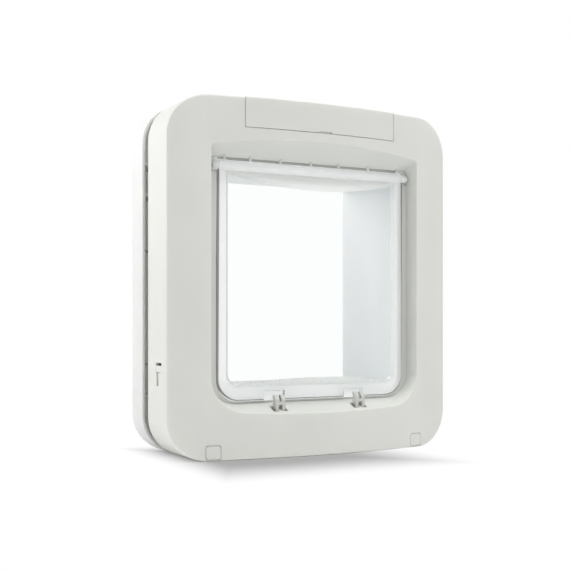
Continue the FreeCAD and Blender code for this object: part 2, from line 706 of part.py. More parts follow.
def frame_ribs():
    ribs = []
    thin = RIB_THICKNESS / 2.0
    sunk = WALL / 2.0
    back = OUTER_BACK - sunk
    collar = TUNNEL_OUTSIDE + COLLAR_WALL / 2.0
    outside = HALF_WIDTH - sunk
    low = TUNNEL_FLOOR - TUNNEL_WALL - COLLAR_WALL / 2.0
    high = CEILING_FRONT + COLLAR_WALL / 2.0
    for share in SIDE_RIB_SHARES:
        z = share * FACE_HEIGHT
        ribs.append(box(collar, outside, COLLAR_FRONT, back, z - thin, z + thin))
        ribs.append(box(-outside, -collar, COLLAR_FRONT, back, z - thin, z + thin))
    for x in (-TOP_RIB_X, TOP_RIB_X):
        ribs.append(box(x - thin, x + thin, COLLAR_FRONT, back, sunk, low))
        ribs.append(box(x - thin, x + thin, COLLAR_FRONT, back, high, FACE_HEIGHT - sunk))
    return ribs


def make_outer_frame():
    outer = rounded_back_block(0.0)
    shell = outer.cut(rounded_back_block(WALL))
    bore_half = TUNNEL_OUTSIDE + FIT_GAP
    bore_bottom = TUNNEL_FLOOR - TUNNEL_WALL - FIT_GAP
    bore_top = CEILING_FRONT + TUNNEL_WALL - 2.0
    collar = plate(
        bore_half + COLLAR_WALL, bore_bottom - COLLAR_WALL, bore_top + COLLAR_WALL, COLLAR_CORNER,
        COLLAR_FRONT, COLLAR_BACK)
    bosses = []
    for x, z, boss_front in screw_places():
        bosses.append(rod_y(x, z, FRAME_BOSS_RADIUS, COLLAR_FRONT, BOSS_END))
    inside = [piece.common(outer) for piece in frame_ribs() + bosses]
    body = shell.fuse([collar] + inside)
    cuts = [tunnel_block(TUNNEL_WALL + FIT_GAP, bore_half, OUTER_FRONT - 1.0, COLLAR_BACK + 2.0)]
    for x, z, boss_front in screw_places():
        cuts.append(rod_y(x, z, SCREW_BORE, OUTER_FRONT - 1.0, SCREW_END + 1.0))
    return body.cut(cuts).removeSplitter()


def make_battery_tray():
    outer = box(-TRAY_HALF_WIDTH, TRAY_HALF_WIDTH, TRAY_FRONT, TRAY_BACK, TRAY_BOTTOM, TRAY_TOP)
    inner = box(
        TRAY_WALL - TRAY_HALF_WIDTH, TRAY_HALF_WIDTH - TRAY_WALL, TRAY_FRONT + TRAY_WALL, TRAY_BACK - TRAY_WALL,
        CELL_Z - CELL_RADIUS, TRAY_TOP + 5.0)
    half = TRAY_WALL / 2.0
    divider = box(-half, half, TRAY_FRONT, TRAY_BACK, TRAY_BOTTOM, TRAY_TOP)
    between = (CELL_ROWS[0] + CELL_ROWS[1]) / 2.0
    ridge = box(-TRAY_HALF_WIDTH, TRAY_HALF_WIDTH, between - 0.5, between + 0.5, TRAY_BOTTOM, CELL_Z - 3.0)
    near = TRAY_HALF_WIDTH - TRAY_WALL / 2.0
    ear = box(near, EAR_END, EAR_FRONT, EAR_FRONT + EAR_THICKNESS, TRAY_BOTTOM, BUTTON_Z + 4.2)
    shelf = box(near, EAR_END, EAR_FRONT, SHELF_BACK, TRAY_BOTTOM - TRAY_WALL, TRAY_BOTTOM)
    body = outer.cut(inner).fuse([divider, ridge, ear, shelf])
    hole = rod_y(
        BUTTON_X, BUTTON_Z, BUTTON_RADIUS + BUTTON_FIT, EAR_FRONT - 1.0, EAR_FRONT + EAR_THICKNESS + 1.0)
    return body.cut(hole).removeSplitter()


def make_cell(index):
    row = CELL_ROWS[index // 2]
    side = -1.0 if index % 2 == 0 else 1.0
    x0 = 1.0 if side > 0 else -1.0 - CELL_LENGTH
    end = x0 + CELL_LENGTH
    body = rod_x(row, CELL_Z, CELL_RADIUS - 0.15, x0, end - CELL_NUB)
    nub = rod_x(row, CELL_Z, CELL_NUB_RADIUS, end - CELL_NUB - 0.1, end)
    return body.fuse(nub)


def make_contacts():
    places = []
    for row in CELL_ROWS:
        for x in (TRAY_WALL - TRAY_HALF_WIDTH, TRAY_HALF_WIDTH - TRAY_WALL - CONTACT_THICKNESS):
            places.append(box(
                x, x + CONTACT_THICKNESS, row - CONTACT_HALF, row + CONTACT_HALF,
                CELL_Z - CONTACT_HALF, CELL_Z + CONTACT_HALF))
    return Part.makeCompound(places)


def make_circuit_board():
    top = BOARD_Z + BOARD_THICKNESS
    board = box(-BOARD_HALF_WIDTH, BOARD_HALF_WIDTH, BOARD_FRONT, HOUSING_FRONT, BOARD_Z, top)
    hole_x = LEDGE_X - 4.0
    holes = [rod_z(x, BOARD_FRONT + 6.0, 1.5, BOARD_Z - 1.0, top + 1.0) for x in (-hole_x, hole_x)]
    return board.cut(holes)


def make_board_chips():
    top = BOARD_Z + BOARD_THICKNESS
    chips = []
    for x, back, width, depth, height in zip(CHIP_LEFT, CHIP_BACK, CHIP_WIDTH, CHIP_DEPTH, CHIP_HEIGHT):
        y = BOARD_FRONT + back
        chips.append(box(x, x + width, y, y + depth, top, top + height))
    return Part.makeCompound(chips)


def make_button_switch():
    return box(
        BUTTON_X - SWITCH_HALF, BUTTON_X + SWITCH_HALF, SWITCH_FRONT, SWITCH_FRONT + SWITCH_DEPTH,
        TRAY_BOTTOM, BUTTON_Z + SWITCH_HALF)


def make_learn_button():
    stem = rod_y(BUTTON_X, BUTTON_Z, BUTTON_RADIUS, BUTTON_FRONT, BUTTON_BACK)
    collar = rod_y(BUTTON_X, BUTTON_Z, BUTTON_RIM, BUTTON_BACK - 1.1, BUTTON_BACK)
    return stem.fuse(collar)


def make_reader_coil():
    bottom = HINGE_Z - TUNNEL_SWEEP - TUNNEL_WALL - 0.1
    top = CEILING_FRONT + TUNNEL_WALL
    outer = plate(
        TUNNEL_OUTSIDE + COIL_WALL, bottom - COIL_WALL, top + COIL_WALL, COIL_CORNER, COIL_FRONT, COIL_BACK)
    inner = box(-TUNNEL_OUTSIDE, TUNNEL_OUTSIDE, COIL_FRONT - 1.0, COIL_BACK + 1.0, bottom, top)
    return outer.cut(inner)


def centre_shift():
    return Vector(0, (CROWN - TUNNEL_BACK) / 2.0, 0)


def build_all():
    nodes = {
        "front_cover": make_front_cover(),
        "rear_housing": make_rear_housing(),
        "tunnel": make_tunnel(),
        "outer_frame": make_outer_frame(),
        "battery_tray": make_battery_tray(),
        "battery_contacts": make_contacts(),
        "circuit_board": make_circuit_board(),
        "board_chips": make_board_chips(),
        "button_switch": make_button_switch(),
        "reader_coil": make_reader_coil(),
        "solenoid_left": make_solenoid(-1.0),
        "solenoid_right": make_solenoid(1.0),
        "hinge_bush_left": make_bush(-1.0),
        "hinge_bush_right": make_bush(1.0),
        "fixing_screws_bottom": make_fixing_screws(SCREW_X, SCREW_Z, BOTTOM_BOSS_FRONT),
        "fixing_screws_top": make_fixing_screws(TOP_SCREW_X, TOP_SCREW_Z, TOP_BOSS_FRONT),
        "housing_screws": make_housing_screws(),
        "flap": make_flap(),
        "latch_left": make_latch(-1.0),
        "latch_right": make_latch(1.0),
        "battery_cover": make_battery_cover(),
        "learn_button": make_learn_button(),
        "screw_cap_left": make_screw_cap(-1.0),
        "screw_cap_right": make_screw_cap(1.0),
    }
    for index in range(4):
        nodes["cell_%d" % (index + 1)] = make_cell(index)
    return nodes


os.makedirs("parts", exist_ok=True)
shift = centre_shift()
for name, shape in build_all().items():
    shape.translate(shift)
    shape.exportStep(os.path.join("parts", name + ".step"))
    bounds = shape.BoundBox
    print(name, shape.isValid(), len(shape.Solids), [round(value, 1) for value in (
        bounds.XMin, bounds.XMax, bounds.YMin, bounds.YMax, bounds.ZMin, bounds.ZMax)])
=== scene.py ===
import json
import math
import bmesh
import bpy
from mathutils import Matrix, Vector


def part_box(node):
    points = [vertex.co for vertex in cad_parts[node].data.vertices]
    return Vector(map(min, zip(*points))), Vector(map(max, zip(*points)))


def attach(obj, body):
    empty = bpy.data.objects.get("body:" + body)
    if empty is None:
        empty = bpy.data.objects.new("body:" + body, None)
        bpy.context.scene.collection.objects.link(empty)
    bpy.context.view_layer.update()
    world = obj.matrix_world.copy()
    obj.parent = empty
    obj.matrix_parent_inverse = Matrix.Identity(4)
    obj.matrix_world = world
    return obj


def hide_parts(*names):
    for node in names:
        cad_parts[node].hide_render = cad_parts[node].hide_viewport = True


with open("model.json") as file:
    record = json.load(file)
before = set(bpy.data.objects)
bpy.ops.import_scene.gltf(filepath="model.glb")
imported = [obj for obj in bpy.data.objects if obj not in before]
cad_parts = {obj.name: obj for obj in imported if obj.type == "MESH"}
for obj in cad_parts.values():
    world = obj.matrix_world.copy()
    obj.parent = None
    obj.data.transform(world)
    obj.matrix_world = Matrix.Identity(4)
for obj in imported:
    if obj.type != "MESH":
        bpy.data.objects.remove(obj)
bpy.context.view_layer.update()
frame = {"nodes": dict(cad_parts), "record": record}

nodes = frame["nodes"]
scene = bpy.context.scene
scene.view_settings.view_transform = "Standard"
print("stage: frame loaded,", len(nodes), "nodes")


# camera, placed from the perspective of the photograph
cameraValues = {
    "lens": 65.0,
    "sensor": 36.0,
    "place": (-0.4228, -0.7809, 0.1106),
    "turn": 28.11,  # degrees from straight ahead, towards +X
    "shiftUp": 0.0594,
    "near": 0.01,
    "far": 50.0,
}


def makeCamera(values):
    data = bpy.data.cameras.new("viewCamera")
    data.lens = values["lens"]
    data.sensor_width = values["sensor"]
    data.shift_y = values["shiftUp"]
    data.clip_start = values["near"]
    data.clip_end = values["far"]
    camera = bpy.data.objects.new("viewCamera", data)
    scene.collection.objects.link(camera)
    camera.location = values["place"]
    camera.rotation_euler = (math.radians(90.0), 0.0, -math.radians(values["turn"]))
    scene.camera = camera


makeCamera(cameraValues)
print("stage: camera")


# small helpers for shader trees
def setInputs(node, wanted):
    for label, value in wanted.items():
        node.inputs[label].default_value = value


def newMaterial(name):
    material = bpy.data.materials.new(name)
    material.use_nodes = True
    tree = material.node_tree
    tree.nodes.clear()
    output = tree.nodes.new("ShaderNodeOutputMaterial")
    shader = tree.nodes.new("ShaderNodeBsdfPrincipled")
    tree.links.new(shader.outputs["BSDF"], output.inputs["Surface"])
    return material, tree, shader


def objectCoords(tree, scale=(1.0, 1.0, 1.0)):
    coords = tree.nodes.new("ShaderNodeTexCoord")
    mapping = tree.nodes.new("ShaderNodeMapping")
    mapping.inputs["Scale"].default_value = scale
    tree.links.new(coords.outputs["Object"], mapping.inputs["Vector"])
    return mapping.outputs["Vector"]


def objectParts(tree):
    coords = tree.nodes.new("ShaderNodeTexCoord")
    parts = tree.nodes.new("ShaderNodeSeparateXYZ")
    tree.links.new(coords.outputs["Object"], parts.inputs["Vector"])
    return parts


def mathOf(tree, operation, first, second=None):
    node = tree.nodes.new("ShaderNodeMath")
    node.operation = operation
    tree.links.new(first, node.inputs[0])
    if second is not None:
        tree.links.new(second, node.inputs[1])
    return node.outputs[0]


def noiseOf(tree, vector, scale, detail=2.0, rough=0.5):
    noise = tree.nodes.new("ShaderNodeTexNoise")
    setInputs(noise, {"Scale": scale, "Detail": detail, "Roughness": rough})
    tree.links.new(vector, noise.inputs["Vector"])
    return noise.outputs["Fac"]


# most of a noise lies between 0.3 and 0.7
def rangeOf(tree, value, low, high, fromLow=0.3, fromHigh=0.7):
    node = tree.nodes.new("ShaderNodeMapRange")
    setInputs(node, {"From Min": fromLow, "From Max": fromHigh, "To Min": low, "To Max": high})
    tree.links.new(value, node.inputs["Value"])
    return node.outputs["Result"]


def toneOf(tree, value, first, second, fromLow=0.3, fromHigh=0.7):
    ramp = tree.nodes.new("ShaderNodeValToRGB")
    for element, place, tone in zip(ramp.color_ramp.elements, (fromLow, fromHigh), (first, second)):
        element.position = place
        element.color = (*tone, 1.0)
    tree.links.new(value, ramp.inputs["Fac"])
    return ramp.outputs["Color"]


def bumpOf(tree, shader, height, strength, distance, edge=0.0, samples=6):
    bump = tree.nodes.new("ShaderNodeBump")
    setInputs(bump, {"Strength": strength, "Distance": distance})
    tree.links.new(height, bump.inputs["Height"])
    if edge > 0.0:
        soft = tree.nodes.new("ShaderNodeBevel")
        soft.samples = samples
        soft.inputs["Radius"].default_value = edge
        tree.links.new(soft.outputs["Normal"], bump.inputs["Normal"])
    tree.links.new(bump.outputs["Normal"], shader.inputs["Normal"])


# moulded plastics, each with the two tones of a faint mottle
plasticValues = {
    "cover": {
        "light": (0.735, 0.740, 0.700), "dark": (0.700, 0.706, 0.666),
        "rough": 0.46, "grain": 2600.0, "edge": 0.0006, "glow": 0.25,
    },
    "frame": {
        "light": (0.800, 0.802, 0.786), "dark": (0.770, 0.772, 0.756),
        "rough": 0.42, "grain": 2200.0, "edge": 0.0006, "glow": 0.8,
    },
    "tunnel": {
        "light": (0.925, 0.945, 0.940), "dark": (0.910, 0.930, 0.925),
        "rough": 0.38, "grain": 1800.0, "edge": 0.0005, "glow": 0.9,
    },
    "latch": {
        "light": (0.590, 0.595, 0.565), "dark": (0.555, 0.560, 0.530),
        "rough": 0.40, "grain": 2600.0, "edge": 0.0004, "glow": 0.0,
    },
    # a darker grey, painted shade for the rebate round the flap and the slot over its bar
    "seal": {
        "light": (0.520, 0.525, 0.500), "dark": (0.460, 0.465, 0.440),
        "rough": 0.75, "grain": 5000.0, "edge": 0.0002, "glow": 0.0,
    },
    # a mid-grey, painted shade for the lip strip in the gap beside the flap
    "lip": {
        "light": (0.640, 0.645, 0.615), "dark": (0.600, 0.605, 0.575),
        "rough": 0.70, "grain": 5000.0, "edge": 0.0001, "glow": 0.0,
    },
    "black": {
        "light": (0.040, 0.042, 0.045), "dark": (0.026, 0.028, 0.030),
        "rough": 0.50, "grain": 3000.0, "edge": 0.0002, "glow": 0.0,
    },
}

# what all moulded plastics share
mouldValues = {
    "mottle": 14.0,
    "detail": 3.0,
    "grainRough": 0.6,
    "smoother": 0.05,  # the grain moves the roughness this far down and up
    "rougher": 0.06,
    "bend": 1.5,
    "shine": 0.45,
    "glowTint": (1.0, 0.98, 0.90),
    "glowDepth": 0.006,
    "bump": 0.25,
    "bumpDepth": 0.00003,
}


def mouldedPlastic(name, values, shared):
    material, tree, shader = newMaterial(name)
    vector = objectCoords(tree)
    broad = noiseOf(tree, vector, shared["mottle"], shared["detail"])
    fine = noiseOf(tree, vector, values["grain"], shared["detail"], shared["grainRough"])
    tree.links.new(toneOf(tree, broad, values["dark"], values["light"]), shader.inputs["Base Color"])
    low, high = values["rough"] - shared["smoother"], values["rough"] + shared["rougher"]
    tree.links.new(rangeOf(tree, fine, low, high), shader.inputs["Roughness"])
    setInputs(shader, {
        "IOR": shared["bend"],
        "Specular IOR Level": shared["shine"],
        "Subsurface Weight": values["glow"],
        "Subsurface Radius": shared["glowTint"],
        "Subsurface Scale": shared["glowDepth"],
    })
    bumpOf(tree, shader, fine, shared["bump"], shared["bumpDepth"], values["edge"])
    return material


# clear plastics; those with an alpha are thick or bent places, which look milky
clearValues = {
    "clearPanel": {
        "tint": (0.975, 0.990, 0.986), "optics": {"Transmission Weight": 1.0, "IOR": 1.06},
        "rough": 0.03, "ripple": 0.04,
    },
    # a dark tint, painted shade on the flap's outline faces, where the gap round the flap lies in shade
    "clearEdgeShade": {
        "tint": (0.240, 0.245, 0.235), "optics": {"Transmission Weight": 0.45, "IOR": 1.12},
        "rough": 0.30, "ripple": 0.03,
    },
    "clearRim": {
        "tint": (0.965, 0.975, 0.970), "optics": {"Alpha": 0.55},
        "rough": 0.12, "ripple": 0.02,
    },
    "clearFold": {
        "tint": (0.900, 0.915, 0.910), "optics": {"Alpha": 0.78},
        "rough": 0.25, "ripple": 0.02,
    },
    "clearCrest": {
        "tint": (0.975, 0.990, 0.984), "optics": {"Alpha": 0.88},
        "rough": 0.15, "ripple": 0.02,
    },
}

# what all clear plastics share
sheetValues = {
    "ripple": 30.0,
    "rippleDepth": 0.0004,
    "dust": 900.0,
    "dustDetail": 4.0,
    "dustRough": 0.7,
    "rougher": 0.06,
}


# lamp and bounced light pass straight through, so that what is behind isn't in the dark
def letLampsThrough(tree, shader, tint):
    rays = tree.nodes.new("ShaderNodeLightPath")
    through = tree.nodes.new("ShaderNodeBsdfTransparent")
    through.inputs["Color"].default_value = (*tint, 1.0)
    mix = tree.nodes.new("ShaderNodeMixShader")
    output = next(node for node in tree.nodes if node.type == "OUTPUT_MATERIAL")
    either = mathOf(tree, "MAXIMUM", rays.outputs["Is Shadow Ray"], rays.outputs["Is Diffuse Ray"])
    tree.links.new(either, mix.inputs["Fac"])
    tree.links.new(shader.outputs["BSDF"], mix.inputs[1])
    tree.links.new(through.outputs["BSDF"], mix.inputs[2])
    tree.links.new(mix.outputs["Shader"], output.inputs["Surface"])


def clearPlastic(name, values, shared):
    material, tree, shader = newMaterial(name)
    vector = objectCoords(tree)
    ripple = noiseOf(tree, vector, shared["ripple"])
    dust = noiseOf(tree, vector, shared["dust"], shared["dustDetail"], shared["dustRough"])
    setInputs(shader, {"Base Color": (*values["tint"], 1.0), **values["optics"]})
    rough = rangeOf(tree, dust, values["rough"], values["rough"] + shared["rougher"])
    tree.links.new(rough, shader.inputs["Roughness"])
    bumpOf(tree, shader, ripple, values["ripple"], shared["rippleDepth"])
    letLampsThrough(tree, shader, values["tint"])
    return material


steelValues = {
    "stretch": (1.0, 0.08, 1.0),  # the streaks run along Y
    "streaks": 3000.0,
    "detail": 4.0,
    "streakRough": 0.7,
    "dark": (0.50, 0.50, 0.49),
    "light": (0.72, 0.71, 0.69),
    "smoothest": 0.25,
    "roughest": 0.42,
    "bump": 0.2,
    "bumpDepth": 0.00002,
    "edge": 0.0002,
}


def zincSteel(name, values):
    material, tree, shader = newMaterial(name)
    vector = objectCoords(tree, values["stretch"])
    streaks = noiseOf(tree, vector, values["streaks"], values["detail"], values["streakRough"])
    tree.links.new(toneOf(tree, streaks, values["dark"], values["light"]), shader.inputs["Base Color"])
    shader.inputs["Metallic"].default_value = 1.0
    rough = rangeOf(tree, streaks, values["smoothest"], values["roughest"])
    tree.links.new(rough, shader.inputs["Roughness"])
    bumpOf(tree, shader, streaks, values["bump"], values["bumpDepth"], values["edge"])
    return material


copperValues = {
    "bands": 420.0,
    "distortion": 0.4,
    "dark": (0.30, 0.10, 0.04),
    "light": (0.72, 0.36, 0.17),
    "darkest": 0.1,  # where the two tones stand on the wave
    "lightest": 0.9,
    "rough": 0.32,
    "bump": 0.7,
    "bumpDepth": 0.0002,
}


def woundCopper(name, values):
    material, tree, shader = newMaterial(name)
    wave = tree.nodes.new("ShaderNodeTexWave")
    wave.bands_direction = "Y"
    setInputs(wave, {"Scale": values["bands"], "Distortion": values["distortion"]})
    tree.links.new(objectCoords(tree), wave.inputs["Vector"])
    tone = toneOf(tree, wave.outputs["Fac"], values["dark"], values["light"],
                  values["darkest"], values["lightest"])
    tree.links.new(tone, shader.inputs["Base Color"])
    setInputs(shader, {"Metallic": 1.0, "Roughness": values["rough"]})
    bumpOf(tree, shader, wave.outputs["Fac"], values["bump"], values["bumpDepth"])
    return material


boardValues = {
    "tracks": 120.0,
    "field": (0.020, 0.150, 0.055),
    "secondField": (0.030, 0.190, 0.075),
    "line": (0.070, 0.330, 0.140),
    "lineWidth": 0.03,
    "rough": 0.35,
    "coat": 0.4,
    "grain": 900.0,
    "bump": 0.2,
    "bumpDepth": 0.00003,
}


def boardGreen(name, values):
    material, tree, shader = newMaterial(name)
    vector = objectCoords(tree)
    tracks = tree.nodes.new("ShaderNodeTexBrick")
    setInputs(tracks, {
        "Scale": values["tracks"],
        "Color1": (*values["field"], 1.0),
        "Color2": (*values["secondField"], 1.0),
        "Mortar": (*values["line"], 1.0),
        "Mortar Size": values["lineWidth"],
    })
    tree.links.new(vector, tracks.inputs["Vector"])
    tree.links.new(tracks.outputs["Color"], shader.inputs["Base Color"])
    setInputs(shader, {"Roughness": values["rough"], "Coat Weight": values["coat"]})
    bumpOf(tree, shader, noiseOf(tree, vector, values["grain"]), values["bump"], values["bumpDepth"])
    return material


cellValues = {
    "ring": (0.62, 0.60, 0.56),
    "sleeve": (0.045, 0.050, 0.060),
    "ringEnd": 0.014,  # from the middle of the part, along X
    "rough": 0.3,
    "coat": 0.5,
    "grain": 500.0,
    "bump": 0.1,
    "bumpDepth": 0.00003,
    "edge": 0.0004,
}


# a plain two-tone sleeve along the cell
def cellSkin(name, values):
    material, tree, shader = newMaterial(name)
    along = mathOf(tree, "ABSOLUTE", objectParts(tree).outputs["X"])
    band = tree.nodes.new("ShaderNodeValToRGB")
    band.color_ramp.interpolation = "CONSTANT"
    band.color_ramp.elements[0].color = (*values["ring"], 1.0)
    band.color_ramp.elements[1].position = values["ringEnd"]
    band.color_ramp.elements[1].color = (*values["sleeve"], 1.0)
    tree.links.new(along, band.inputs["Fac"])
    tree.links.new(band.outputs["Color"], shader.inputs["Base Color"])
    setInputs(shader, {"Roughness": values["rough"], "Coat Weight": values["coat"]})
    grain = noiseOf(tree, objectCoords(tree), values["grain"])
    bumpOf(tree, shader, grain, values["bump"], values["bumpDepth"], values["edge"])
    return material


materials = {}
for shortName, values in plasticValues.items():
    materials[shortName + "Plastic"] = mouldedPlastic(shortName + "Plastic", values, mouldValues)
for clearName, values in clearValues.items():
    materials[clearName] = clearPlastic(clearName, values, sheetValues)
materials["zincSteel"] = zincSteel("zincSteel", steelValues)
materials["woundCopper"] = woundCopper("woundCopper", copperValues)
materials["boardGreen"] = boardGreen("boardGreen", boardValues)
materials["cellSkin"] = cellSkin("cellSkin", cellValues)
print("stage: materials", len(materials))


# which finish each node of the frame carries
nodeFinish = {
    "front_cover": "coverPlastic",
    "battery_cover": "coverPlastic",
    "screw_cap_left": "coverPlastic",
    "screw_cap_right": "coverPlastic",
    "rear_housing": "coverPlastic",
    "outer_frame": "framePlastic",
    "tunnel": "tunnelPlastic",
    "hinge_bush_left": "framePlastic",
    "hinge_bush_right": "framePlastic",
    "flap": "clearPanel",
    "latch_left": "latchPlastic",
    "latch_right": "latchPlastic",
    "battery_tray": "blackPlastic",
    "battery_contacts": "zincSteel",
    "circuit_board": "boardGreen",
    "board_chips": "blackPlastic",
    "button_switch": "blackPlastic",
    "learn_button": "framePlastic",
    "reader_coil": "woundCopper",
    "solenoid_left": "zincSteel",
    "solenoid_right": "zincSteel",
    "fixing_screws_bottom": "zincSteel",
    "fixing_screws_top": "zincSteel",
    "housing_screws": "zincSteel",
    "cell_1": "cellSkin",
    "cell_2": "cellSkin",
    "cell_3": "cellSkin",
    "cell_4": "cellSkin",
}

# these only get a finish; a smooth copy stands in for every other node
plainNodes = ("battery_tray", "battery_contacts", "circuit_board", "board_chips", "button_switch",
              "reader_coil", "solenoid_left", "solenoid_right")


def bodyOf(nodeName):
    for body, members in frame["record"]["behaviour"]["bodies"].items():
        if nodeName in members:
            return body
    return None


smoothValues = {
    "weld": 1e-6,
    "shortest": 1e-7,
    "angle": 32.0,  # degrees; sharper edges stay sharp
}


def smoothCopy(nodeName, values):
    mesh = bmesh.new()
    mesh.from_mesh(nodes[nodeName].data)
    bmesh.ops.remove_doubles(mesh, verts=mesh.verts, dist=values["weld"])
    bmesh.ops.dissolve_degenerate(mesh, edges=mesh.edges, dist=values["shortest"])
    for face in mesh.faces:
        face.smooth = True
    limit = math.radians(values["angle"])
    for edge in mesh.edges:
        edge.smooth = len(edge.link_faces) == 2 and edge.calc_face_angle(0.0) < limit
    data = bpy.data.meshes.new(nodeName + "Smooth")
    mesh.to_mesh(data)
    mesh.free()
    piece = bpy.data.objects.new(nodeName + "Smooth", data)
    scene.collection.objects.link(piece)
    return piece


def dressNode(nodeName, finish):
    piece = smoothCopy(nodeName, smoothValues)
    piece.data.materials.append(materials[finish])
    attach(piece, bodyOf(nodeName))
    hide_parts(nodeName)
    return piece


flapFinishes = ("clearPanel", "clearRim", "clearEdgeShade", "clearFold", "clearCrest")
slotOf = {name: slot for slot, name in enumerate(flapFinishes)}

flapValues = {
    "rimFront": -0.041,  # the rim's two flat faces
    "rimBack": -0.037,
    "onFace": 0.0001,  # how near to a flat face counts as on it
    "inRim": 0.0002,
    "reach": 0.0004,
    "barFoot": 0.2276,
    "centre": 0.14,
    "sideOut": 0.080,  # the outline's faces lie outside this width or below this height
    "footOut": 0.0495,
    "notchHalf": 0.0085,
    "notchSpot": 0.0376,
    "chamfer": 0.0008,
    "fold": 0.0010,  # the soft line where the bulge rises from the rim
    "facetTop": 0.070,
    "facetTilt": 0.6,
    "crestFoot": 0.210,
    "crestTilt": 0.5,
    "widenFrom": 0.0800,
    "widenOver": 0.0070,
    "widen": 0.0008,
}


def widenFlap(mesh, values):
    for vert in mesh.verts:
        share = min(max((abs(vert.co.x) - values["widenFrom"]) / values["widenOver"], 0.0), 1.0)
        if vert.co.z < values["barFoot"]:
            vert.co.x += math.copysign(values["widen"] * share, vert.co.x)


# true for a face that makes the flap's outline below the bar
def outerSide(face, values):
    spot = face.calc_center_median()
    upright = abs(face.normal.y) < 0.1
    between = values["rimFront"] - values["inRim"] < spot.y < values["rimBack"] + values["inRim"]
    outward = spot.x * face.normal.x + (spot.z - values["centre"]) * face.normal.z > 0.0
    outline = abs(spot.x) > values["sideOut"] or spot.z < values["footOut"]
    beside = abs(abs(spot.x) - values["notchSpot"]) < values["notchHalf"]
    notch = beside and abs(face.normal.x) > 0.5
    return upright and between and outward and outline and not notch and spot.z < values["barFoot"]


# gives the rim its finish and the outline a dark finish of painted shade, and returns the outline's sharp
# edges
def markRim(mesh, values):
    rims = []
    for face in mesh.faces:
        spot = face.calc_center_median()
        apart = min(abs(spot.y - values["rimFront"]), abs(spot.y - values["rimBack"]))
        face.material_index = slotOf["clearPanel"]
        if (abs(face.normal.y) > 0.99 and apart < values["onFace"]) or spot.z > values["barFoot"]:
            face.material_index = slotOf["clearRim"]
        if outerSide(face, values):
            face.material_index = slotOf["clearEdgeShade"]
            rims += [edge for edge in face.edges if not edge.smooth and edge not in rims]
    return rims


# bevels the front edges between two finishes, and gives the new faces a finish of their own
def bevelBetween(mesh, edges, pair, width, finish, values):
    foremost = values["rimFront"] + values["reach"]
    wanted = {slotOf[name] for name in pair}
    picked = [edge for edge in edges if {face.material_index for face in edge.link_faces} == wanted
              and max(vert.co.y for vert in edge.verts) < foremost]
    cut = bmesh.ops.bevel(mesh, geom=picked, offset=width, segments=1, affect="EDGES", profile=0.5)
    for face in cut["faces"]:
        face.material_index = slotOf[finish]


# the bulge's slanting facets at its foot and top
def markFacets(mesh, values):
    for face in mesh.faces:
        height = face.calc_center_median().z
        if face.material_index == slotOf["clearPanel"]:
            if abs(face.normal.z) > values["facetTilt"] and height < values["facetTop"]:
                face.material_index = slotOf["clearFold"]
            elif abs(face.normal.z) > values["crestTilt"] and height > values["crestFoot"]:
                face.material_index = slotOf["clearCrest"]


def finishFlap(piece, values):
    data = piece.data
    for name in flapFinishes[1:]:
        data.materials.append(materials[name])
    mesh = bmesh.new()
    mesh.from_mesh(data)
    mesh.normal_update()
    widenFlap(mesh, values)
    rims = markRim(mesh, values)
    bevelBetween(mesh, rims, ("clearRim", "clearEdgeShade"), values["chamfer"], "clearEdgeShade", values)
    bevelBetween(mesh, mesh.edges, ("clearPanel", "clearRim"), values["fold"], "clearFold", values)
    markFacets(mesh, values)
    limit = math.radians(smoothValues["angle"])
    for edge in mesh.edges:
        if len(edge.link_faces) == 2 and edge.calc_face_angle(0.0) > limit:
            edge.smooth = False
    mesh.to_mesh(data)
    mesh.free()


rebateValues = {
    "openHalf": 0.0881,
    "shadeHalf": 0.0935,
    "shadeFront": -0.0379,
    "shadeBack": -0.0323,
    "shadeTop": 0.2242,
    "slotFoot": 0.2362,
    "slotBack": -0.0350,
}


# painted shade: a darker grey finish on the rebate's walls round the flap and on the slot over its bar,
# where the gap lies in shade
def paintRebateShade(piece, values):
    data = piece.data
    data.materials.append(materials["sealPlastic"])
    for face in data.polygons:
        spot = face.center
        beside = values["openHalf"] < abs(spot.x) < values["shadeHalf"]
        within = values["shadeFront"] < spot.y < values["shadeBack"] and spot.z < values["shadeTop"]
        facing = spot.x * face.normal.x < 0.0 or face.normal.y < -0.9
        overBar = spot.z > values["slotFoot"] and spot.y < values["slotBack"]
        if (beside and within and facing) or (overBar and abs(spot.x) < values["openHalf"]):
            face.material_index = 1


# the ribs that stand over the hinge bar, and where each one goes
combValues = {
    "foot": 0.2360,
    "top": 0.2412,
    "front": -0.0412,
    "back": -0.0372,
    "half": 0.0013,
    "thin": 0.55,
    "moves": ((-0.0771, -0.0810), (-0.0553, -0.0584), (-0.0277, -0.0309), (0.0, -0.0025),
              (0.0277, 0.0244), (0.0553, 0.0536), (0.0771, 0.0832)),
}


def thinComb(piece, values):
    for vert in piece.data.vertices:
        place = vert.co
        if values["foot"] < place.z < values["top"] and values["front"] < place.y < values["back"]:
            for start, end in values["moves"]:
                if abs(place.x - start) < values["half"]:
                    place.x = end + (place.x - start) * values["thin"]
                    break


latchValues = {
    "middle": 0.0376,
    "slim": 0.76,
}


def slimLatch(piece, values):
    for vert in piece.data.vertices:
        middle = math.copysign(values["middle"], vert.co.x)
        vert.co.x = middle + (vert.co.x - middle) * values["slim"]


# what is changed on a smooth copy, and by which values
touchUps = {
    "flap": (finishFlap, flapValues),
    "tunnel": (paintRebateShade, rebateValues),
    "front_cover": (thinComb, combValues),
    "latch_left": (slimLatch, latchValues),
    "latch_right": (slimLatch, latchValues),
}

for nodeName, finish in nodeFinish.items():
    if nodeName in plainNodes:
        nodes[nodeName].data.materials.clear()
        nodes[nodeName].data.materials.append(materials[finish])
    else:
        piece = dressNode(nodeName, finish)
        if nodeName in touchUps:
            change, values = touchUps[nodeName]
            change(piece, values)
print("stage: nodes dressed")
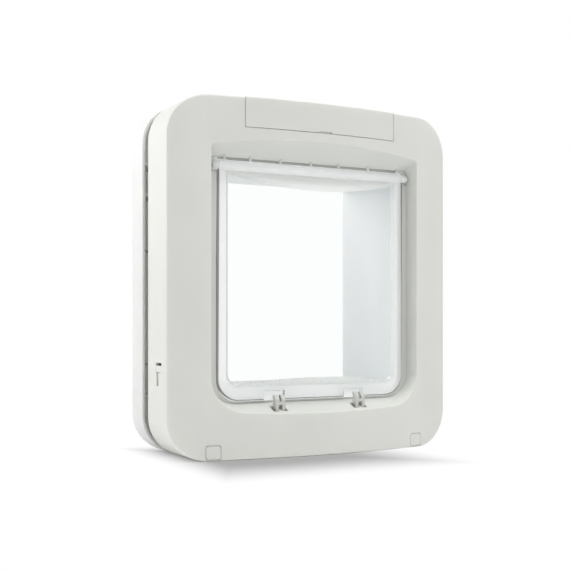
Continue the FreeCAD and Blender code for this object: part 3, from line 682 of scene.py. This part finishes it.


# a mid-grey lip strip between the flap's edge and the funnel, coloured as painted shade for the shaded gap
# there
shadeLipValues = {
    "inner": {"half": 0.0884, "foot": 0.0446, "corner": 0.0184},
    "outer": {"half": 0.0934, "foot": 0.0434, "corner": 0.0203},
    "top": 0.2268,
    "front": -0.0393,
    "back": -0.0386,
    "steps": 10,
}


def lipLine(line, values):
    half, foot, corner = line["half"], line["foot"], line["corner"]
    turns = [math.pi / 2.0 * step / values["steps"] for step in range(values["steps"] + 1)]
    left = [(corner - half - corner * math.cos(turn), foot + corner - corner * math.sin(turn))
            for turn in turns]
    right = [(-x, z) for x, z in reversed(left)]
    return [(-half, values["top"])] + left + right + [(half, values["top"])]


def makeShadeLip(values):
    mesh = bmesh.new()
    rows = []
    for (x0, z0), (x1, z1) in zip(lipLine(values["inner"], values), lipLine(values["outer"], values)):
        corners = ((x0, values["front"], z0), (x1, values["front"], z1),
                   (x1, values["back"], z1), (x0, values["back"], z0))
        rows.append([mesh.verts.new(place) for place in corners])
    for first, second in zip(rows, rows[1:]):
        for index, follow in ((0, 1), (1, 2), (2, 3), (3, 0)):
            mesh.faces.new((first[index], first[follow], second[follow], second[index]))
    mesh.faces.new(rows[0])
    mesh.faces.new(reversed(rows[-1]))
    bmesh.ops.recalc_face_normals(mesh, faces=mesh.faces)
    data = bpy.data.meshes.new("shadeLipStrip")
    mesh.to_mesh(data)
    mesh.free()
    data.materials.append(materials["lipPlastic"])
    lip = bpy.data.objects.new("shadeLipStrip", data)
    scene.collection.objects.link(lip)
    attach(lip, "unit")


makeShadeLip(shadeLipValues)
print("stage: draught seal")


# pieces that repeat, each made by a small tree of Geometry Nodes
def newTree(name, inputs):
    tree = bpy.data.node_groups.new(name, "GeometryNodeTree")
    tree.interface.new_socket("Geometry", in_out="INPUT", socket_type="NodeSocketGeometry")
    for label, kind, value in inputs:
        socket = tree.interface.new_socket(label, in_out="INPUT", socket_type=kind)
        socket.default_value = value
    tree.interface.new_socket("Finish", in_out="INPUT", socket_type="NodeSocketMaterial")
    tree.interface.new_socket("Geometry", in_out="OUTPUT", socket_type="NodeSocketGeometry")
    first = tree.nodes.new("NodeGroupInput")
    return tree, first


def endTree(tree, first, geometry):
    realize = tree.nodes.new("GeometryNodeRealizeInstances")
    finish = tree.nodes.new("GeometryNodeSetMaterial")
    last = tree.nodes.new("NodeGroupOutput")
    tree.links.new(geometry, realize.inputs["Geometry"])
    tree.links.new(realize.outputs["Geometry"], finish.inputs["Geometry"])
    tree.links.new(first.outputs["Finish"], finish.inputs["Material"])
    tree.links.new(finish.outputs["Geometry"], last.inputs["Geometry"])


def pointCarrier(name, places):
    data = bpy.data.meshes.new(name)
    data.from_pydata([tuple(place) for place in places], [], [])
    carrier = bpy.data.objects.new(name, data)
    scene.collection.objects.link(carrier)
    return carrier


def growTree(carrier, tree, values, finish, body, smooth=True):
    modifier = carrier.modifiers.new("grow", "NODES")
    modifier.node_group = tree
    wanted = dict(values, Finish=materials[finish])
    for item in tree.interface.items_tree:
        if item.in_out == "INPUT" and item.name in wanted:
            modifier[item.identifier] = wanted[item.name]
    graph = bpy.context.evaluated_depsgraph_get()
    mesh = bpy.data.meshes.new_from_object(carrier.evaluated_get(graph), depsgraph=graph)
    carrier.modifiers.remove(modifier)
    carrier.data = mesh
    for face in mesh.polygons:
        face.use_smooth = smooth
    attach(carrier, body)
    print("stage:", carrier.name, len(mesh.polygons), "faces")
    return carrier


def threadTree():
    tree, first = newTree("threadTree", [
        ("Shank Radius", "NodeSocketFloat", 0.0024),
        ("Ridge", "NodeSocketFloat", 0.0004),
        ("Turns", "NodeSocketFloat", 20.0),
        ("Length", "NodeSocketFloat", 0.03),
    ])
    spiral = tree.nodes.new("GeometryNodeCurveSpiral")
    spiral.inputs["Resolution"].default_value = 14
    profile = tree.nodes.new("GeometryNodeCurvePrimitiveCircle")
    profile.inputs["Resolution"].default_value = 4
    sweep = tree.nodes.new("GeometryNodeCurveToMesh")
    place = tree.nodes.new("GeometryNodeInstanceOnPoints")
    place.inputs["Rotation"].default_value = (math.radians(-90.0), 0.0, 0.0)
    tree.links.new(first.outputs["Turns"], spiral.inputs["Rotations"])
    tree.links.new(first.outputs["Shank Radius"], spiral.inputs["Start Radius"])
    tree.links.new(first.outputs["Shank Radius"], spiral.inputs["End Radius"])
    tree.links.new(first.outputs["Length"], spiral.inputs["Height"])
    tree.links.new(first.outputs["Ridge"], profile.inputs["Radius"])
    tree.links.new(spiral.outputs["Curve"], sweep.inputs["Curve"])
    tree.links.new(profile.outputs["Curve"], sweep.inputs["Profile Curve"])
    tree.links.new(first.outputs["Geometry"], place.inputs["Points"])
    tree.links.new(sweep.outputs["Mesh"], place.inputs["Instance"])
    endTree(tree, first, place.outputs["Instances"])
    return tree


screwValues = {
    "headRadius": 0.0042,
    "shankRadius": 0.0024,
    "ridge": 0.00042,
    "turns": 21.0,
    "length": 0.034,
    "start": -0.0010,  # just inside the rear housing, across the gap and into the outer frame
}


def screwPlaces(nodeName, values):
    low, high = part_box(nodeName)
    across = high[0] - values["headRadius"]
    height = (low[2] + high[2]) / 2.0
    return [(side * across, values["start"], height) for side in (-1.0, 1.0)]


threads = pointCarrier("screwThreads", screwPlaces("fixing_screws_bottom", screwValues)
                       + screwPlaces("fixing_screws_top", screwValues))
growTree(threads, threadTree(), {
    "Shank Radius": screwValues["shankRadius"],
    "Ridge": screwValues["ridge"],
    "Turns": screwValues["turns"],
    "Length": screwValues["length"],
}, "zincSteel", "unit")


def windingTree():
    tree, first = newTree("windingTree", [
        ("Width", "NodeSocketFloat", 0.18),
        ("Height", "NodeSocketFloat", 0.2),
        ("Corner", "NodeSocketFloat", 0.006),
        ("Wire Radius", "NodeSocketFloat", 0.0005),
    ])
    ring = tree.nodes.new("GeometryNodeCurvePrimitiveQuadrilateral")
    bend = tree.nodes.new("GeometryNodeFilletCurve")
    bend.mode = "POLY"
    bend.inputs["Count"].default_value = 5
    profile = tree.nodes.new("GeometryNodeCurvePrimitiveCircle")
    profile.inputs["Resolution"].default_value = 8
    place = tree.nodes.new("GeometryNodeInstanceOnPoints")
    place.inputs["Rotation"].default_value = (math.radians(90.0), 0.0, 0.0)
    loose = tree.nodes.new("GeometryNodeRealizeInstances")
    sweep = tree.nodes.new("GeometryNodeCurveToMesh")
    tree.links.new(first.outputs["Width"], ring.inputs["Width"])
    tree.links.new(first.outputs["Height"], ring.inputs["Height"])
    tree.links.new(ring.outputs["Curve"], bend.inputs["Curve"])
    tree.links.new(first.outputs["Corner"], bend.inputs["Radius"])
    tree.links.new(first.outputs["Geometry"], place.inputs["Points"])
    tree.links.new(bend.outputs["Curve"], place.inputs["Instance"])
    tree.links.new(place.outputs["Instances"], loose.inputs["Geometry"])
    tree.links.new(first.outputs["Wire Radius"], profile.inputs["Radius"])
    tree.links.new(loose.outputs["Geometry"], sweep.inputs["Curve"])
    tree.links.new(profile.outputs["Curve"], sweep.inputs["Profile Curve"])
    endTree(tree, first, sweep.outputs["Mesh"])
    return tree


coilValues = {
    "turns": 11,
    "wireRadius": 0.0005,
    "corner": 0.006,
    "sunk": 0.0002,
}


def coilTurns(values):
    low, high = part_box("reader_coil")
    step = (high[1] - low[1] - 2.0 * values["wireRadius"]) / (values["turns"] - 1)
    middle = (low[2] + high[2]) / 2.0
    places = [(0.0, low[1] + values["wireRadius"] + step * turn, middle) for turn in range(values["turns"])]
    carrier = pointCarrier("coilTurns", places)
    return growTree(carrier, windingTree(), {
        "Width": high[0] - low[0] - 2.0 * values["sunk"],
        "Height": high[2] - low[2] - 2.0 * values["sunk"],
        "Corner": values["corner"],
        "Wire Radius": values["wireRadius"],
    }, "woundCopper", "unit")


coilTurns(coilValues)


def legTree():
    tree, first = newTree("legTree", [
        ("Leg Width", "NodeSocketFloat", 0.0004),
        ("Leg Length", "NodeSocketFloat", 0.0012),
        ("Leg Height", "NodeSocketFloat", 0.0008),
    ])
    size = tree.nodes.new("ShaderNodeCombineXYZ")
    leg = tree.nodes.new("GeometryNodeMeshCube")
    place = tree.nodes.new("GeometryNodeInstanceOnPoints")
    tree.links.new(first.outputs["Leg Width"], size.inputs["X"])
    tree.links.new(first.outputs["Leg Length"], size.inputs["Y"])
    tree.links.new(first.outputs["Leg Height"], size.inputs["Z"])
    tree.links.new(size.outputs["Vector"], leg.inputs["Size"])
    tree.links.new(first.outputs["Geometry"], place.inputs["Points"])
    tree.links.new(leg.outputs["Mesh"], place.inputs["Instance"])
    endTree(tree, first, place.outputs["Instances"])
    return tree


chipValues = {
    "chips": (
        {"left": -0.030, "width": 0.012, "depth": 0.012, "front": 0.003},  # front: from the board's edge
        {"left": -0.008, "width": 0.009, "depth": 0.009, "front": 0.005},
        {"left": 0.014, "width": 0.016, "depth": 0.008, "front": 0.003},
    ),
    "legWidth": 0.0004,
    "legLength": 0.0012,
    "legHeight": 0.0006,
    "legOut": 0.4,  # the share of a leg's length from its middle to the chip's side
    "pitch": 0.0013,
    "endGap": 0.001,
}


def chipLegs(values):
    low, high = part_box("circuit_board")
    out = values["legLength"] * values["legOut"]
    places = []
    for chip in values["chips"]:
        count = int((chip["width"] - values["endGap"]) / values["pitch"])
        start = chip["left"] + (chip["width"] - (count - 1) * values["pitch"]) / 2.0
        front = low[1] + chip["front"]
        for index in range(count):
            across = start + index * values["pitch"]
            for edge in (front - out, front + chip["depth"] + out):
                places.append((across, edge, high[2] + values["legHeight"] / 2.0))
    growTree(pointCarrier("chipLegs", places), legTree(), {
        "Leg Width": values["legWidth"],
        "Leg Length": values["legLength"],
        "Leg Height": values["legHeight"],
    }, "zincSteel", "unit", smooth=False)


chipLegs(chipValues)


# floor, world and lamps
setValues = {
    "floorSize": 6.0,
    # near the part the floor is seen darker than white: a painted shadow on top of the lamps' real shadows,
    # fading to plain white along the lines below
    "floorShadowTone": 0.40,  # as seen; the light it gives back is that of a white floor
    "floorBounce": 0.95,
    "shadowFades": {  # the floor turns plain white between these two lines on each side of the part
        "front": {"axis": "Y", "near": -0.072, "far": -0.162},
        "rear": {"axis": "Y", "near": 0.000, "far": 0.070},
        "left": {"axis": "X", "near": -0.092, "far": -0.138},
        "right": {"axis": "X", "near": 0.010, "far": 0.090},
    },
    "worldLight": 0.42,
    "lampAim": (0.0, 0.0, 0.14),
    "lamps": {
        "rearLamp": {"place": (-1.1, 1.1, 0.8), "size": 1.0, "power": 12.5},
        "frontLamp": {"place": (1.3, -1.5, 0.2), "size": 1.0, "power": 4.5},
        "leftLamp": {"place": (-1.5, -0.22, 0.30), "size": 0.5, "power": 2.6},
        "topLamp": {"place": (0.3, -0.5, 1.8), "size": 0.8, "power": 20.0},
    },
}


# one for the rays that see the floor and the world, nought for those that carry light
def seenRays(tree):
    rays = tree.nodes.new("ShaderNodeLightPath")
    plain = mathOf(tree, "MAXIMUM", rays.outputs["Is Camera Ray"], rays.outputs["Is Transmission Ray"])
    return mathOf(tree, "MAXIMUM", plain, rays.outputs["Is Glossy Ray"])


def farOf(tree, shadowFades):
    parts = objectParts(tree)
    most = None
    for fade in shadowFades.values():
        reach = tree.nodes.new("ShaderNodeMapRange")
        reach.interpolation_type = "SMOOTHSTEP"
        setInputs(reach, {"From Min": fade["near"], "From Max": fade["far"]})
        tree.links.new(parts.outputs[fade["axis"]], reach.inputs["Value"])
        result = reach.outputs["Result"]
        most = result if most is None else mathOf(tree, "MAXIMUM", most, result)
    return most


def makeFloor(values):
    mesh = bmesh.new()
    bmesh.ops.create_grid(mesh, x_segments=1, y_segments=1, size=values["floorSize"])
    data = bpy.data.meshes.new("paleFloor")
    mesh.to_mesh(data)
    mesh.free()
    floor = bpy.data.objects.new("paleFloor", data)
    scene.collection.objects.link(floor)
    material = bpy.data.materials.new("paleFloor")
    material.use_nodes = True
    tree = material.node_tree
    tree.nodes.clear()
    output = tree.nodes.new("ShaderNodeOutputMaterial")
    diffuse = tree.nodes.new("ShaderNodeBsdfDiffuse")
    white = tree.nodes.new("ShaderNodeEmission")
    tone = tree.nodes.new("ShaderNodeMapRange")
    mix = tree.nodes.new("ShaderNodeMixShader")
    seen = seenRays(tree)
    setInputs(tone, {"To Min": values["floorBounce"], "To Max": values["floorShadowTone"]})
    tree.links.new(seen, tone.inputs["Value"])
    tree.links.new(tone.outputs["Result"], diffuse.inputs["Color"])
    tree.links.new(mathOf(tree, "MULTIPLY", seen, farOf(tree, values["shadowFades"])), mix.inputs["Fac"])
    tree.links.new(diffuse.outputs["BSDF"], mix.inputs[1])
    tree.links.new(white.outputs["Emission"], mix.inputs[2])
    tree.links.new(mix.outputs["Shader"], output.inputs["Surface"])
    data.materials.append(material)


def makeWorld(values):
    world = bpy.data.worlds.new("paleStudio")
    scene.world = world
    world.use_nodes = True
    tree = world.node_tree
    tree.nodes.clear()
    output = tree.nodes.new("ShaderNodeOutputWorld")
    mix = tree.nodes.new("ShaderNodeMixShader")
    tree.links.new(seenRays(tree), mix.inputs["Fac"])
    for slot, strength in ((1, values["worldLight"]), (2, 1.0)):
        white = tree.nodes.new("ShaderNodeBackground")
        setInputs(white, {"Color": (1.0, 1.0, 1.0, 1.0), "Strength": strength})
        tree.links.new(white.outputs["Background"], mix.inputs[slot])
    tree.links.new(mix.outputs["Shader"], output.inputs["Surface"])


def makeLamp(name, values, aim):
    data = bpy.data.lights.new(name, "AREA")
    data.shape = "SQUARE"
    data.size = values["size"]
    data.energy = values["power"]
    lamp = bpy.data.objects.new(name, data)
    scene.collection.objects.link(lamp)
    lamp.location = values["place"]
    direction = Vector(aim) - Vector(values["place"])
    lamp.rotation_euler = direction.to_track_quat("-Z", "Y").to_euler()


makeFloor(setValues)
makeWorld(setValues)
for lampName, lampValues in setValues["lamps"].items():
    makeLamp(lampName, lampValues, setValues["lampAim"])
print("stage: floor, world and lamps")
